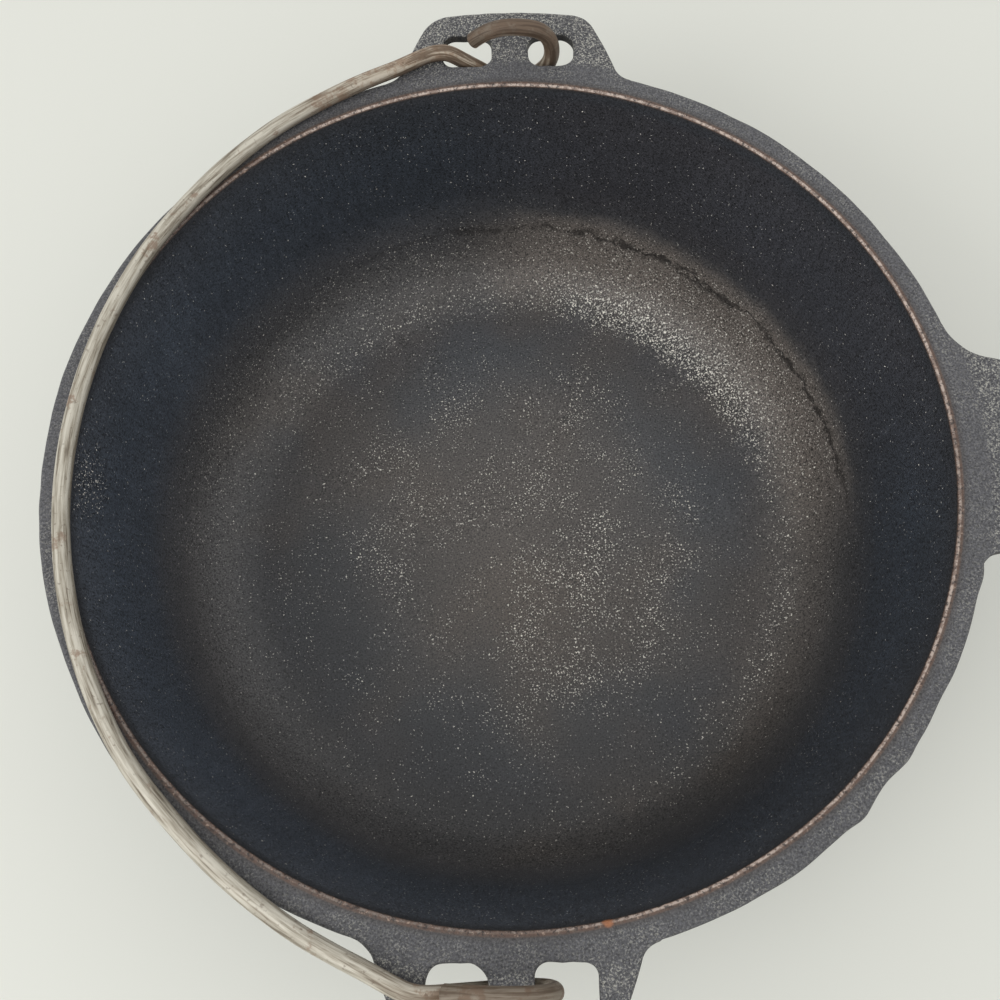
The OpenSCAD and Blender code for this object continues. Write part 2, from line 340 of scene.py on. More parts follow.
def rim_grid(degrees):
    """Points of the rim, row by row round its section: up the inside, round the worn inside
    edge, out over the top, round the outer edge, back along the underside and across the
    joint. The outer edge's rounding is measured along the outline's own normal."""
    radians = np.radians(degrees)
    ray = np.stack([np.cos(radians), np.sin(radians)], axis=1)
    outline = rim_outline(degrees)[:, None] * ray
    tangent = np.roll(outline, -1, axis=0) - np.roll(outline, 1, axis=0)
    normal = np.stack([tangent[:, 1], -tangent[:, 0]], axis=1)
    normal /= np.linalg.norm(normal, axis=1)[:, None]
    ring = outline - OUTER_EDGE_R * normal
    ring_bottom = underside(np.linalg.norm(outline, axis=1))
    quarter = math.pi / 2.0
    edge_middle = (side_r(RIM_R, RIM_TOP - INSIDE_EDGE_R) + INSIDE_EDGE_R / math.cos(WALL_LEAN),
                   RIM_TOP - INSIDE_EDGE_R)
    inside = joined(
        line((side_r(RIM_R, FLANGE_BOTTOM), FLANGE_BOTTOM), (side_r(RIM_R, 93.8), 93.8), 5),
        arc(edge_middle, INSIDE_EDGE_R, math.pi - WALL_LEAN, quarter, 6))
    rows = [np.concatenate([r * ray, np.full((len(ray), 1), z)], axis=1) for r, z in inside]
    runs = list(run_along(inside) + 192.0)
    start = inside[-1, 0] * ray
    for share in TOP_SHARES[1:]:
        plan = start + share * (ring - start)
        rows.append(np.column_stack([plan, np.full(len(ray), RIM_TOP)]))
        runs.append(None)
    for a in np.linspace(0.0, quarter, 6)[1:]:
        plan = outline - OUTER_EDGE_R * (1.0 - math.sin(a)) * normal
        drop = OUTER_EDGE_R * (1.0 - math.cos(a))
        rows.append(np.column_stack([plan, np.full(len(ray), RIM_TOP - drop)]))
    for a in np.linspace(0.0, quarter, 6):
        plan = outline - OUTER_EDGE_R * (1.0 - math.cos(a)) * normal
        rise = OUTER_EDGE_R * (1.0 - math.sin(a))
        rows.append(np.column_stack([plan, ring_bottom + rise]))
    start = JOINT_R * ray
    for share in UNDER_SHARES[-2::-1]:
        plan = start + share * (ring - start)
        rows.append(np.column_stack([plan, underside(np.linalg.norm(plan, axis=1))]))
    plan = 0.5 * (JOINT_R + side_r(RIM_R, FLANGE_BOTTOM)) * ray
    rows.append(np.column_stack([plan, np.full(len(ray), FLANGE_BOTTOM)]))
    return np.stack(rows), len(inside)


def cast_surface(points):
    """Moves points on top of the rim up and down, and points on its outer side in and out, by
    the unevenness of sand-cast iron. Nothing moves near the joint with the bowl."""
    radius = np.hypot(points[..., 0], points[..., 1])
    fine = uneven(points, 4.5, 21)
    broad = uneven(points, 17.0, 22)
    plate = smooth_step(radius, 138.0, 141.0)
    top = smooth_step(points[..., 2], 94.0, 95.0) * smooth_step(radius, 130.5, 131.5)
    low = (1.0 - smooth_step(points[..., 2], 90.9, 92.0)) * plate
    depth = 0.05 + 0.09 * plate
    moved = points.copy()
    moved[..., 2] -= top * depth * (1.2 + fine + 0.8 * broad) * 0.6
    moved[..., 2] += low * 0.1 * (1.2 + fine + broad)
    return moved


def cell_loop(first_row, last_row, first_column, last_column, number):
    """Numbers of the grid points round a block of faces, in order and without repeats."""
    across = np.arange(first_column, last_column)
    up = np.arange(first_row, last_row)
    return np.concatenate([number(first_row, across), number(up, last_column),
                           number(last_row, across[::-1] + 1), number(up[::-1] + 1, first_column)])


def pierce_ear(ear, hole, side, degrees, grid, inside_rows):
    """Passage of one hole through an ear. Rings of points run from the edge of a block of the
    top's grid in to the hole, down through it and out to the same block of the underside.
    Each ring's point keeps the direction, from the hole's middle, of the point it starts at."""
    columns = len(degrees)
    middle = np.argmin(np.abs(degrees - ear["middle"]))
    sideways = np.argmin(np.abs(plate_angle(ear, degrees) - side * CELL_DEGREES))
    first, last = sorted((middle, sideways))
    top_start = inside_rows - 1
    under_start = top_start + (TOP_ROWS - 1) + 5 + 6

    def top_number(row, column):
        return (top_start + row) * columns + column

    def under_number(row, column):
        return (under_start + TOP_ROWS - 1 - row) * columns + column

    top_loop = cell_loop(CELL_FIRST, CELL_LAST, first, last, top_number)
    under_loop = cell_loop(CELL_FIRST, CELL_LAST, first, last, under_number)
    flat = grid.reshape(-1, 3)
    hole_angle = math.radians(ear["middle"]) - ear["way"] * math.atan2(hole[0], hole[1])
    hole_middle = math.hypot(hole[0], hole[1]) * np.array([math.cos(hole_angle),
                                                           math.sin(hole_angle)])
    outward = np.array([math.cos(math.radians(ear["middle"])),
                        math.sin(math.radians(ear["middle"]))])
    across = np.array([outward[1], -outward[0]]) * ear["way"]

    def directions(loop):
        away = flat[loop][:, :2] - hole_middle
        return np.arctan2(away @ outward, away @ across)

    def hole_ring(angle, grown):
        ragged = grown + 0.1 * wave_round(angle, 2, 11, 40 + int(hole[0] > 0))
        reach = hole_reach(hole, angle, ragged)[:, None]
        return hole_middle + reach * (np.cos(angle)[:, None] * across
                                      + np.sin(angle)[:, None] * outward)

    top_angle, under_angle = directions(top_loop), directions(under_loop)
    quarter = math.pi / 2.0
    rings = []
    top_edge = hole_ring(top_angle, HOLE_EDGE_R)
    for share in np.linspace(0.0, 1.0, 9)[1:]:
        plan = flat[top_loop][:, :2] * (1.0 - share) + top_edge * share
        rings.append(np.column_stack([plan, np.full(len(plan), RIM_TOP)]))
    for a in np.linspace(0.0, quarter, 5)[1:]:
        plan = hole_ring(top_angle, HOLE_EDGE_R * (1.0 - math.sin(a)))
        drop = HOLE_EDGE_R * (1.0 - math.cos(a))
        rings.append(np.column_stack([plan, np.full(len(plan), RIM_TOP - drop)]))
    for a in np.linspace(0.0, quarter, 5):
        angle = top_angle if a == 0.0 else under_angle
        plan = hole_ring(angle, HOLE_EDGE_R * (1.0 - math.cos(a)))
        rise = HOLE_EDGE_R * (1.0 - math.sin(a))
        floor = underside(np.linalg.norm(plan, axis=1))
        rings.append(np.column_stack([plan, floor + rise]))
    under_edge = hole_ring(under_angle, HOLE_EDGE_R)
    for share in np.linspace(1.0, 0.0, 9)[1:-1]:
        plan = flat[under_loop][:, :2] * (1.0 - share) + under_edge * share
        rings.append(np.column_stack([plan, underside(np.linalg.norm(plan, axis=1))]))
    return top_loop, np.stack(rings), under_loop, (first, last)


def pot_rim():
    """Flange, ears and lug of the casting: a closed ring of a grid, in which four blocks of
    faces on the top and on the underside give way to the passages of the ears' holes."""
    degrees = rim_columns()
    grid, inside_rows = rim_grid(degrees)
    row_count, columns = grid.shape[:2]
    faces = grid_quads(row_count, columns, True, True)
    kept = np.ones(faces.shape[:2], bool)
    top_start = inside_rows - 1
    under_start = top_start + (TOP_ROWS - 1) + 5 + 6
    points = [grid.reshape(-1, 3)]
    all_faces = []
    total = row_count * columns
    for ear, holes in ((FAR_EAR, FAR_HOLES), (NEAR_EAR, NEAR_HOLES)):
        for hole, side in zip(holes, (1.0, -1.0)):
            top_loop, rings, under_loop, block = pierce_ear(ear, hole, side, degrees, grid,
                                                            inside_rows)
            kept[top_start + CELL_FIRST:top_start + CELL_LAST, block[0]:block[1]] = False
            low = under_start + TOP_ROWS - 1 - CELL_LAST
            high = under_start + TOP_ROWS - 1 - CELL_FIRST
            kept[low:high, block[0]:block[1]] = False
            count = len(top_loop)
            numbers = total + np.arange(rings.shape[0] * count).reshape(rings.shape[0], count)
            numbers = np.concatenate([[top_loop], numbers, [under_loop]])
            here, after = numbers[:-1], numbers[1:]
            passage = np.stack([here, np.roll(here, -1, axis=1), np.roll(after, -1, axis=1),
                                after], axis=-1).reshape(-1, 4)
            all_faces.append(passage)
            points.append(rings.reshape(-1, 3))
            total += rings.shape[0] * count
    points = cast_surface(np.concatenate(points))
    all_faces = np.concatenate([faces[kept].reshape(-1, 4)] + all_faces)
    used, compact = np.unique(all_faces, return_inverse=True)
    points = points[used]
    compact = compact.reshape(all_faces.shape)[:, ::-1]
    radius = np.hypot(points[:, 0], points[:, 1])
    wall_run = 192.0 + (points[:, 2] - FLANGE_BOTTOM) / math.cos(WALL_LEAN)
    run = np.where(radius < 130.4, wall_run, 197.0 + radius - 130.4)
    run = np.where((points[:, 2] < 94.2) & (radius > 130.4), OUTSIDE_RUN, run)
    plate = smooth_step(radius, 138.0, 141.0)
    attributes = {"section_run": run, "plate": plate}
    return make_piece("pot_rim", points, compact.tolist(), attributes, 50.0)


# Bail: sizes in millimetres
WIRE_R = 2.6
WIRE_LENGTH = 540.0
LEG_Z = 97.9
AXLE_Z = 96.2
BOW_R = 149.24
BOW_X = 19.04
DIVE_X, DIVE_R = -20.9, 5.0
SHOULDER_R = 12.0
# Each eye: radius and x of the bend under the web, y of the leg and of the strand over the
# web, and the way that strand takes, as x and z, from the upright side to the cut end
FAR_EYE = {"radius": 12.58, "middle": 2.7, "leg_y": 141.1, "strand_y": 141.9,
           "over": ((15.1, 99.4), (14.2, 103.0), (11.9, 106.0), (8.6, 107.5), (4.6, 108.0),
                    (0.6, 108.2), (-2.8, 107.6), (-5.7, 106.3), (-8.3, 104.5), (-10.7, 102.2))}
NEAR_EYE = {"radius": 11.5, "middle": 0.3, "leg_y": -145.0, "strand_y": -144.1,
            "over": ((11.4, 99.4), (10.3, 102.9), (8.0, 106.0), (4.6, 107.9), (0.6, 108.2),
                     (-3.4, 107.5), (-7.4, 106.2), (-11.0, 104.6), (-15.4, 102.6))}
# Kinks of the old bow: angle round its middle in degrees, offset outwards and half width
BOW_KINKS = ((113.0, -1.0, 14.0), (139.0, -0.35, 10.0), (231.0, -1.15, 13.0), (250.0, -0.7, 8.0))
BOW_INWARDS = 0.75


def eased(values, width):
    """Running mean of a line of points over a width, with both end points kept in place."""
    half = width // 2
    before = 2.0 * values[:1] - values[half:0:-1]
    after = 2.0 * values[-1:] - values[-2:-half - 2:-1]
    padded = np.concatenate([before, values, after])
    kernel = np.ones(width) / width
    return np.stack([np.convolve(padded[:, k], kernel, "valid")
                     for k in range(values.shape[1])], axis=1)


def respaced(path, count):
    """The same line with its points evenly spaced along it."""
    run = run_along(path)
    even = np.linspace(0.0, run[-1], count)
    return np.stack([np.interp(even, run, path[:, k]) for k in range(path.shape[1])], axis=1)


def eye_path(eye):
    """Middle line of one eye from the end of its leg: the bend down, the straight stretch,
    the bend under the web and the strand over it, which is eased through its points."""
    centre = np.array([eye["middle"], AXLE_Z])
    dive = np.array([DIVE_X, LEG_Z - DIVE_R])
    span = np.linalg.norm(centre - dive)
    dive_a = (math.asin((DIVE_R + eye["radius"]) / span)
              - math.asin((centre[1] - dive[1]) / span))
    quarter = math.pi / 2.0
    over = eased(respaced(np.array(eye["over"]), 60), 9)
    bent = joined(
        arc(dive, DIVE_R, quarter, quarter - dive_a, 12),
        arc(centre, eye["radius"], -quarter - dive_a, math.radians(2.0), 50),
        np.concatenate([over[:1], over]))
    share = smooth_step(np.arange(len(bent)) / len(bent), 0.1, 0.4)
    y = eye["leg_y"] + (eye["strand_y"] - eye["leg_y"]) * share
    return np.column_stack([bent[:, 0], y, bent[:, 1]])


def bail_path():
    """Middle line of the wire and the sideways normal of its section, from the far eye's cut
    end, round that eye, along the bow, and round the near eye to its cut end. The bow is one
    arc with a few kinks, and a shoulder at each end turns it into its leg."""
    slide = (FAR_EYE["leg_y"] + NEAR_EYE["leg_y"]) / 2.0
    leg_y = (FAR_EYE["leg_y"] - NEAR_EYE["leg_y"]) / 2.0
    bow_q = BOW_R - SHOULDER_R
    shoulder_a = math.asin((BOW_X - DIVE_X) / bow_q)
    quarter = math.pi / 2.0
    turn = np.linspace(quarter + shoulder_a, 3.0 * quarter - shoulder_a, 400)
    degrees = np.degrees(turn)
    kinks = np.array(BOW_KINKS)
    away = (degrees[:, None] - kinks[:, 0]) / kinks[:, 2]
    offset = (kinks[:, 1] * np.exp(-(away ** 4))).sum(axis=1) - BOW_INWARDS
    from_end = np.minimum(degrees - degrees[0], degrees[-1] - degrees)
    radius = BOW_R + offset * smooth_step(from_end, -1.0, 6.0)
    bow = np.stack([BOW_X + radius * np.cos(turn), slide + radius * np.sin(turn),
                    np.full(len(turn), LEG_Z)], axis=1)
    shoulder = arc((DIVE_X, leg_y - SHOULDER_R), SHOULDER_R, quarter, quarter + shoulder_a, 14)
    far_shoulder = np.column_stack([shoulder, np.full(len(shoulder), LEG_Z)])
    near_shoulder = far_shoulder * [1.0, -1.0, 1.0]
    far_shoulder[:, 1] += slide
    near_shoulder[:, 1] += slide
    path = joined(eye_path(FAR_EYE)[::-1], far_shoulder, bow, near_shoulder[::-1],
                  eye_path(NEAR_EYE))
    path = eased(respaced(path, 640), 5)
    tangent = np.gradient(path, axis=0)
    tangent /= np.linalg.norm(tangent, axis=1)[:, None]
    sideways = np.zeros_like(path)
    flat = np.stack([-tangent[:, 1], tangent[:, 0]], axis=1)
    upright = np.tile([0.0, -1.0], (len(path), 1))
    upright[path[:, 1] < 0.0] *= -1.0
    on_bow = smooth_step(-path[:, 0], -DIVE_X, 4.0 - DIVE_X)[:, None]
    flat *= np.sign((flat * upright).sum(axis=1))[:, None]
    sideways[:, :2] = flat * on_bow + upright * (1.0 - on_bow)
    far_half = path[:, 1] > slide
    sideways[~far_half] *= -1.0
    middle = np.abs(path[:, 1] - slide) < 90.0
    inward = np.array([[BOW_X, slide, LEG_Z]]) - path
    sideways[middle] = inward[middle]
    sideways *= np.where((sideways * inward).sum(axis=1) < 0.0, -1.0, 1.0)[:, None]
    sideways -= (sideways * tangent).sum(axis=1)[:, None] * tangent
    sideways /= np.linalg.norm(sideways, axis=1)[:, None]
    return path, tangent, sideways


def bail_wire():
    """The bail: a circle carried along the wire's middle line, a little uneven in thickness,
    with the edges of both cut ends rounded off and the ends closed."""
    path, tangent, sideways = bail_path()
    upward = np.cross(tangent, sideways)
    run = run_along(path)
    from_end = np.minimum(run, run[-1] - run)
    thickness = WIRE_R * (1.0 - 0.012 * (1.0 + uneven(path, 23.0, 31)))
    sides = 32
    turn = np.linspace(0.0, 2.0 * np.pi, sides, endpoint=False)
    circle = (np.cos(turn)[:, None] * sideways[:, None, :]
              + np.sin(turn)[:, None] * upward[:, None, :])
    tube = path[:, None, :] + thickness[:, None, None] * circle

    def end_rings(index, way):
        cap = []
        for share, beyond in ((0.97, 0.12), (0.88, 0.3), (0.72, 0.38), (0.4, 0.4)):
            cap.append(path[index] + way * beyond * tangent[index]
                       + share * thickness[index] * circle[index])
        return cap

    start = end_rings(0, -1.0)[::-1]
    finish = end_rings(-1, 1.0)
    tube = np.concatenate([np.stack(start), tube, np.stack(finish)])
    rings = tube.shape[0]
    points = np.concatenate([tube.reshape(-1, 3), [path[0] - 0.4 * tangent[0]],
                             [path[-1] + 0.4 * tangent[-1]]])
    quads = grid_quads(rings, sides, False, True).reshape(-1, 4)
    ring = np.arange(sides)
    following = (ring + 1) % sides
    last = (rings - 1) * sides
    start_fan = np.stack([following, ring, 0 * ring + rings * sides], axis=1)
    end_fan = np.stack([last + ring, last + following, 0 * ring + rings * sides + 1], axis=1)
    faces = quads.tolist() + start_fan.tolist() + end_fan.tolist()
    wire_run = np.concatenate([np.full(4, run[0]), run, np.full(4, run[-1])])
    wire_run = np.concatenate([np.repeat(wire_run, sides), [run[0], run[-1]]])
    attributes = {"wire_run": wire_run,
                  "wire_cos": np.concatenate([np.tile(np.cos(turn), rings), [0.0, 0.0]]),
                  "wire_sin": np.concatenate([np.tile(np.sin(turn), rings), [0.0, 0.0]])}
    return make_piece("bail_wire", points, faces, attributes, 60.0)


# Finishes
def tone(red, green, blue):
    """Linear colour, with alpha, of a tone written from 0 to 255 as a screen shows it."""
    share = np.array([red, green, blue]) / 255.0
    linear = np.where(share <= 0.04045, share / 12.92, ((share + 0.055) / 1.055) ** 2.4)
    return (*linear.tolist(), 1.0)


def add(tree, kind, wiring=None, **settings):
    """New node with its settings, its inputs joined to sockets or set to plain values."""
    made = tree.nodes.new(kind)
    for label, value in settings.items():
        setattr(made, label, value)
    for label, value in (wiring or {}).items():
        if isinstance(value, bpy.types.NodeSocket):
            tree.links.new(value, made.inputs[label])
        else:
            made.inputs[label].default_value = value
    return made


def maths(tree, operation, first, second=0.0, third=0.0):
    """Result of one arithmetic step on sockets or numbers."""
    wiring = {0: first, 1: second, 2: third}
    return add(tree, "ShaderNodeMath", wiring, operation=operation).outputs[0]


def between(tree, value, low, high, at_low=0.0, at_high=1.0):
    """Smooth change from at_low to at_high while a value goes from low to high."""
    wiring = {"Value": value, "From Min": low, "From Max": high, "To Min": at_low,
              "To Max": at_high}
    made = add(tree, "ShaderNodeMapRange", wiring, interpolation_type="SMOOTHSTEP")
    return made.outputs["Result"]


def cloud(tree, place, size_mm, detail=3.0, roughness=0.55, distortion=0.0):
    """Noise whose largest forms are about size_mm across, from 0 to 1."""
    wiring = {"Vector": place, "Scale": 1000.0 / size_mm, "Detail": detail,
              "Roughness": roughness, "Distortion": distortion}
    return add(tree, "ShaderNodeTexNoise", wiring).outputs["Fac"]


def mixed(tree, share, below, above, how="MIX"):
    """Colour below with colour above laid over it by a share."""
    made = add(tree, "ShaderNodeMix", data_type="RGBA", blend_type=how)
    for label, value in (("Factor_Float", share), ("A_Color", below), ("B_Color", above)):
        socket = next(s for s in made.inputs if s.identifier == label)
        if isinstance(value, bpy.types.NodeSocket):
            tree.links.new(value, socket)
        else:
            socket.default_value = value
    return next(s for s in made.outputs if s.identifier == "Result_Color")


def shaded(tree, colour, factor):
    """Colour made lighter or darker by a factor from a socket."""
    made = add(tree, "ShaderNodeVectorMath", operation="SCALE")
    tree.links.new(colour, made.inputs[0])
    tree.links.new(factor, made.inputs["Scale"])
    return made.outputs[0]


def ramp(tree, value, stops):
    """Colour that follows a value through stops of position and tone."""
    made = add(tree, "ShaderNodeValToRGB", {"Fac": value})
    elements = made.color_ramp.elements
    while len(elements) < len(stops):
        elements.new(1.0)
    for element, (position, colour) in zip(elements, stops):
        element.position = position
        element.color = colour
    return made.outputs["Color"]


def attribute(tree, label):
    """Value that a piece's mesh carries at each point."""
    return add(tree, "ShaderNodeAttribute", attribute_name=label).outputs["Fac"]


# Tones of the iron along its section, by distance from the middle of the floor in mm
IRON_TONES = ((0.0, (88, 83, 79)), (30.0, (80, 76, 73)), (50.0, (74, 72, 71)),
              (64.0, (64, 65, 67)), (76.0, (59, 61, 64)), (88.0, (61, 62, 65)),
              (105.0, (71, 70, 70)), (120.0, (74, 73, 73)), (138.0, (60, 61, 64)),
              (150.0, (52, 57, 64)), (170.0, (51, 57, 65)), (190.0, (49, 53, 59)),
              (195.0, (46, 48, 52)), (196.0, (42, 41, 42)), (198.0, (68, 65, 64)),
              (200.0, (77, 77, 80)), (236.0, (79, 79, 82)), (255.0, (46, 47, 50)))
RUN_SPAN = 256.0
# Places of a cluster of specks on the wall and of one rust spot on the inside edge, in metres
WALL_CLUSTER = (-0.1278, -0.0040, 0.0842)
RUST_SPOT = (0.0257, -0.1277, 0.0949)


def seasoned_iron():
    """Cast iron, seasoned dark: warm grey floor, blue-black wall, a tide line of old cooking
    above the corner, fine pale specks, a worn rusty inside edge with a painted highlight,
    sand-cast ears, and light and shade painted in by direction round the pot."""
    material = bpy.data.materials.new("seasoned_cast_iron")
    material.use_nodes = True
    tree = material.node_tree
    shader = tree.nodes["Principled BSDF"]
    place = add(tree, "ShaderNodeTexCoord").outputs["Object"]
    parts = add(tree, "ShaderNodeSeparateXYZ", {0: place})
    x, y, z = parts.outputs[0], parts.outputs[1], parts.outputs[2]
    run = attribute(tree, "section_run")
    plate = attribute(tree, "plate")
    angle = maths(tree, "ARCTAN2", y, x)
    broad = cloud(tree, place, 42.0, 4.0, 0.6)
    middling = cloud(tree, place, 9.0, 4.0, 0.65)
    fine = cloud(tree, place, 0.62, 2.0, 0.7)

    # Ground tone, with its borders made ragged
    jag = maths(tree, "MULTIPLY_ADD", middling, 9.0, -4.5)
    jag_fine = maths(tree, "MULTIPLY_ADD", cloud(tree, place, 2.6, 3.0, 0.7), 3.4, -1.7)
    inside_share = between(tree, run, 180.0, 191.0, 1.0, 0.06)
    ragged = maths(tree, "MULTIPLY", maths(tree, "ADD", jag, jag_fine), inside_share)
    ragged_run = maths(tree, "ADD", run, ragged)
    # Painted light: on the lit side the pale tone of the corner reaches higher up the wall
    lit_side = maths(tree, "COSINE", maths(tree, "SUBTRACT", angle, math.radians(48.0)))
    near_lit = between(tree, lit_side, 0.55, 0.93)
    lit_cove_shift = maths(tree, "MULTIPLY", maths(tree, "MULTIPLY", near_lit, -6.0),
                       maths(tree, "MULTIPLY", between(tree, run, 118.0, 128.0),
                             between(tree, run, 148.0, 166.0, 1.0, 0.0)))
    shifted = maths(tree, "ADD", ragged_run, lit_cove_shift)
    stops = [(at / RUN_SPAN, tone(*colour)) for at, colour in IRON_TONES]
    ground = ramp(tree, maths(tree, "DIVIDE", shifted, RUN_SPAN), stops)
    outside = between(tree, run, 300.0, 380.0)
    old_oil = between(tree, cloud(tree, place, 24.0, 5.0, 0.7), 0.38, 0.62)
    outside_tone = mixed(tree, old_oil, tone(46, 47, 50), tone(61, 59, 57))
    ground = mixed(tree, outside, ground, outside_tone)

    # The corner: warm, and pale with a painted highlight on the lit side of the lug and far ear;
    # painted shade on the near side
    corner_warm_and_lit = maths(tree, "MULTIPLY", between(tree, shifted, 96.0, 108.0),
                        between(tree, shifted, 126.0, 139.0, 1.0, 0.0))
    corner_warm_and_lit = maths(tree, "MULTIPLY", corner_warm_and_lit, maths(tree, "MULTIPLY", near_lit, 0.8))
    ground = mixed(tree, corner_warm_and_lit, ground, tone(120, 112, 105))
    near_side_shade = maths(tree, "COSINE", maths(tree, "SUBTRACT", angle, math.radians(-82.0)))
    near_side_shade = maths(tree, "MULTIPLY", between(tree, near_side_shade, 0.3, 0.9),
                      maths(tree, "MULTIPLY", between(tree, run, 86.0, 100.0),
                            between(tree, run, 112.0, 128.0, 1.0, 0.4)))
    ground = shaded(tree, ground, maths(tree, "MULTIPLY_ADD", near_side_shade, -0.3, 1.0))
    # Painted light and shade by direction: the wall and the corner paler towards the bow and
    # dimmer under the far ear, and the floor paler or dimmer round the pot
    inside_high = maths(tree, "MULTIPLY", between(tree, run, 94.0, 112.0),
                        between(tree, run, 190.0, 195.0, 1.0, 0.0))
    bow_side_light = maths(tree, "COSINE", maths(tree, "SUBTRACT", angle, math.radians(188.0)))
    bow_side_light = maths(tree, "MULTIPLY", between(tree, bow_side_light, -0.5, 0.9, -0.02, 0.5), inside_high)
    high_side_light = maths(tree, "COSINE", maths(tree, "SUBTRACT", angle, math.radians(240.0)))
    high_side_light = maths(tree, "MULTIPLY", between(tree, high_side_light, -0.1, 0.7, 0.0, 0.32),
                      between(tree, run, 168.0, 188.0))
    bow_side_light = maths(tree, "ADD", bow_side_light, maths(tree, "MULTIPLY", high_side_light, inside_high))
    under_ear_shade = maths(tree, "COSINE", maths(tree, "SUBTRACT", angle, math.radians(92.0)))
    under_ear_shade = maths(tree, "MULTIPLY", between(tree, under_ear_shade, 0.4, 0.95, 0.0, -0.4),
                      maths(tree, "MULTIPLY", between(tree, run, 138.0, 154.0), inside_high))
    floor_light_and_shade = maths(tree, "COSINE", maths(tree, "SUBTRACT", angle, math.radians(80.0)))
    floor_light_and_shade = maths(tree, "MULTIPLY", between(tree, floor_light_and_shade, -0.8, 0.95, -0.12, 0.4),
                       maths(tree, "MULTIPLY", between(tree, run, 8.0, 86.0, 0.1, 1.0),
                             between(tree, run, 92.0, 104.0, 1.0, 0.0)))
    painted_side_light = maths(tree, "ADD", maths(tree, "ADD", bow_side_light, under_ear_shade), 1.0)
    ground = shaded(tree, ground, maths(tree, "ADD", painted_side_light, floor_light_and_shade))
    # Painted light: the wall paler and warmer on its lit side
    lit_wall = maths(tree, "MULTIPLY", near_lit, between(tree, run, 138.0, 150.0, 0.0, 0.5))
    lit_wall = maths(tree, "MULTIPLY", lit_wall, between(tree, run, 190.0, 195.0, 1.0, 0.0))
    ground = mixed(tree, lit_wall, ground, tone(61, 59, 62))

    off_edge = between(tree, run, 190.0, 195.0, 1.0, 0.0)
    # Broad patches, warm ones on the floor and the corner
    warm = between(tree, cloud(tree, place, 70.0, 3.0, 0.5), 0.42, 0.66)
    warm_here = maths(tree, "MULTIPLY", warm, between(tree, run, 104.0, 128.0, 0.4, 0.0))
    ground = mixed(tree, warm_here, ground, tone(88, 78, 68))
    patchy = maths(tree, "MULTIPLY_ADD", broad, 0.6, 0.7)
    ground = shaded(tree, ground, patchy)
    upright = add(tree, "ShaderNodeCombineXYZ", {0: x, 1: y, 2: maths(tree, "MULTIPLY", z, 0.1)})
    wall_streaks = cloud(tree, upright.outputs[0], 1.8, 3.0, 0.6)
    wall_streaks = maths(tree, "SUBTRACT", wall_streaks, 0.5)
    on_wall = maths(tree, "MULTIPLY", between(tree, run, 136.0, 150.0), off_edge)
    wall_streaks = maths(tree, "MULTIPLY", wall_streaks, on_wall)
    ground = shaded(tree, ground, maths(tree, "MULTIPLY_ADD", wall_streaks, 0.9, 1.0))
    grain_depth = between(tree, run, 118.0, 150.0, 3.4, 3.2)
    grainy = maths(tree, "MULTIPLY_ADD", maths(tree, "SUBTRACT", fine, 0.5), grain_depth, 1.0)
    ground = shaded(tree, ground, maths(tree, "MAXIMUM", grainy, 0.25))

    # Tide line: dark and broken, 31 mm up the inside, on the side of the lug and far ear
    sector = maths(tree, "MULTIPLY", between(tree, angle, -0.06, 0.22),
                   between(tree, angle, 1.1, 2.5, 1.0, 0.0))
    wander = maths(tree, "MULTIPLY_ADD", cloud(tree, place, 16.0, 4.0, 0.7), 12.0, -6.0)
    wander = maths(tree, "ADD", wander, maths(tree, "MULTIPLY", jag_fine, 1.3))
    line_run = maths(tree, "SUBTRACT", maths(tree, "ADD", run, wander), 130.8)
    off_line = maths(tree, "ABSOLUTE", line_run)
    smear = between(tree, cloud(tree, place, 7.0, 3.0, 0.65), 0.36, 0.62, 0.7, 4.2)
    line_near = between(tree, off_line, 0.2, smear, 1.0, 0.0)
    broken = between(tree, cloud(tree, place, 3.6, 3.0, 0.7), 0.35, 0.49)
    tide = maths(tree, "MULTIPLY", maths(tree, "MULTIPLY", line_near, broken), sector)
    ground = mixed(tree, maths(tree, "MULTIPLY", tide, 0.8), ground, tone(24, 21, 20))

    # Pale specks: blots a third of a millimetre across, where a fine noise stands above a level
    # that drifts on the floor and a ring at the foot of the corner bring down. Towards the lit
    # side the ring's specks thicken and more lie beyond it, as painted glints. Each has a painted
    # shadow round its border, and dark pits lie between them
    drift_share = between(tree, cloud(tree, place, 20.0, 5.0, 0.75), 0.38, 0.62, 0.15, 1.0)
    on_floor = maths(tree, "MULTIPLY", between(tree, run, 56.0, 72.0, 0.62, 0.42),
                     between(tree, run, 86.0, 96.0, 1.0, 0.2))
    right_side = maths(tree, "COSINE", maths(tree, "SUBTRACT", angle, math.radians(-15.0)))
    right_drift = maths(tree, "MULTIPLY", between(tree, right_side, -0.5, 0.5, 0.0, 0.1),
                        maths(tree, "MULTIPLY", between(tree, run, 14.0, 34.0),
                              between(tree, run, 60.0, 84.0, 1.0, 0.0)))
    ring_specks_and_glint = maths(tree, "COSINE", maths(tree, "SUBTRACT", angle, math.radians(50.0)))
    ring_specks_and_glint = maths(tree, "ADD", between(tree, ring_specks_and_glint, -0.7, 0.4, 0.18, 0.5),
                        between(tree, ring_specks_and_glint, 0.78, 0.98, 0.0, 0.5))
    speck_run = maths(tree, "ADD", run, maths(tree, "MULTIPLY", jag, 0.7))
    ring = maths(tree, "MULTIPLY", between(tree, speck_run, 87.0, 99.0),
                 between(tree, speck_run, 100.0, 114.0, 1.0, 0.0))
    beyond = maths(tree, "MULTIPLY", between(tree, run, 102.0, 112.0, 0.0, 0.5),
                   between(tree, run, 126.0, 146.0, 1.0, 0.0))
    dense = maths(tree, "MULTIPLY", drift_share, on_floor)
